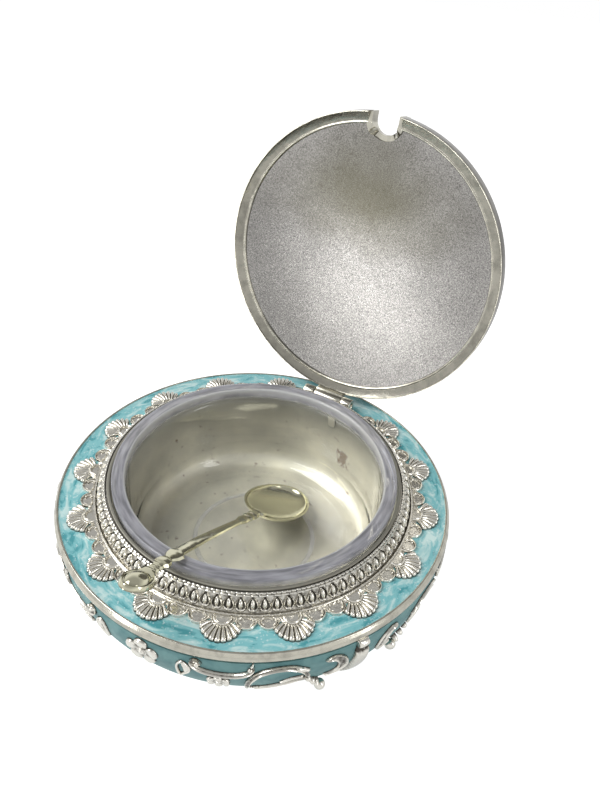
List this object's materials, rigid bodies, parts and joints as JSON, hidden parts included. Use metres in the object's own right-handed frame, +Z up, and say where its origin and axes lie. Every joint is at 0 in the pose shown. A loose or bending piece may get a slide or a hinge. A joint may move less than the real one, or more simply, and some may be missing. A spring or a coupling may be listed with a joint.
{
  "type": "dried fruit box",
  "caption": "Round footed box with enamelled deck and wall, hinged domed lid notched for a spoon, glass bowl inside, and a teaspoon.",
  "frame": {"origin": "middle of the base plate's underside, on the table", "axes": "+Z up; +Y from the front to the hinge; +X to the right as seen from the front"},
  "size_m": [0.1612, 0.191, 0.175],
  "materials": {
    "silver": "polished plating, darkened in the hollows",
    "bright_silver": "bright polished plating",
    "cast_silver": "fine cast grain under dull plating",
    "pale_silver_gilt": "polished plating, a warm pale tone",
    "deck_enamel": "pearly gloss enamel",
    "wall_enamel": "dark gloss enamel",
    "clear_glass": "clear pressed glass"
  },
  "bodies": {
    "casing": {"base_plate": "silver", "base_screw_1": "cast_silver", "base_screw_2": "cast_silver", "base_screw_3": "cast_silver", "body_shell": "silver", "wall_enamel": "wall_enamel", "top_ring": "silver", "deck_enamel": "deck_enamel", "rim_band": "bright_silver", "lace_ring": "silver", "string_ring": "silver", "egg_ring": "silver", "bead_ring": "silver", "inner_cup": "cast_silver", "casing_knuckle_left": "bright_silver", "casing_knuckle_right": "bright_silver", "hinge_pin": "cast_silver", "wall_flower_1": "silver", "leg_1": "silver", "comma_leaf_1_left": "silver", "scroll_1_left": "silver", "leaf_frame_1_left": "silver", "hook_leaf_1_left": "silver", "comma_leaf_1_right": "silver", "scroll_1_right": "silver", "leaf_frame_1_right": "silver", "hook_leaf_1_right": "silver", "wall_flower_2": "silver", "leg_2": "silver", "comma_leaf_2_left": "silver", "scroll_2_left": "silver", "leaf_frame_2_left": "silver", "hook_leaf_2_left": "silver", "comma_leaf_2_right": "silver", "scroll_2_right": "silver", "leaf_frame_2_right": "silver", "hook_leaf_2_right": "silver", "wall_flower_3": "silver", "leg_3": "silver", "comma_leaf_3_left": "silver", "scroll_3_left": "silver", "leaf_frame_3_left": "silver", "hook_leaf_3_left": "silver", "comma_leaf_3_right": "silver", "scroll_3_right": "silver", "leaf_frame_3_right": "silver", "hook_leaf_3_right": "silver"},
    "lid": {"lid_shell": "cast_silver", "lid_rim": "bright_silver", "lid_enamel": "deck_enamel", "lid_lace": "silver", "lid_knob": "bright_silver", "lid_knuckle": "bright_silver", "notch_lining": "bright_silver"},
    "glass": {"glass_bowl": "clear_glass"},
    "spoon": {"spoon": "pale_silver_gilt"}
  },
  "joints": [
    {"name": "lid_hinge", "type": "hinge", "parent": "casing", "child": "lid", "pos_m": [0, 0.064, 0.0519], "axis": [1, 0, 0], "range_deg": [0, 100]},
    {"name": "glass_lift", "type": "slide", "parent": "casing", "child": "glass", "axis": [0, 0, 1], "range_m": [0, 0.09]},
    {"name": "spoon_lift", "type": "slide", "parent": "glass", "child": "spoon", "axis": [0, 0, 1], "range_m": [0, 0.09]}
  ]
}
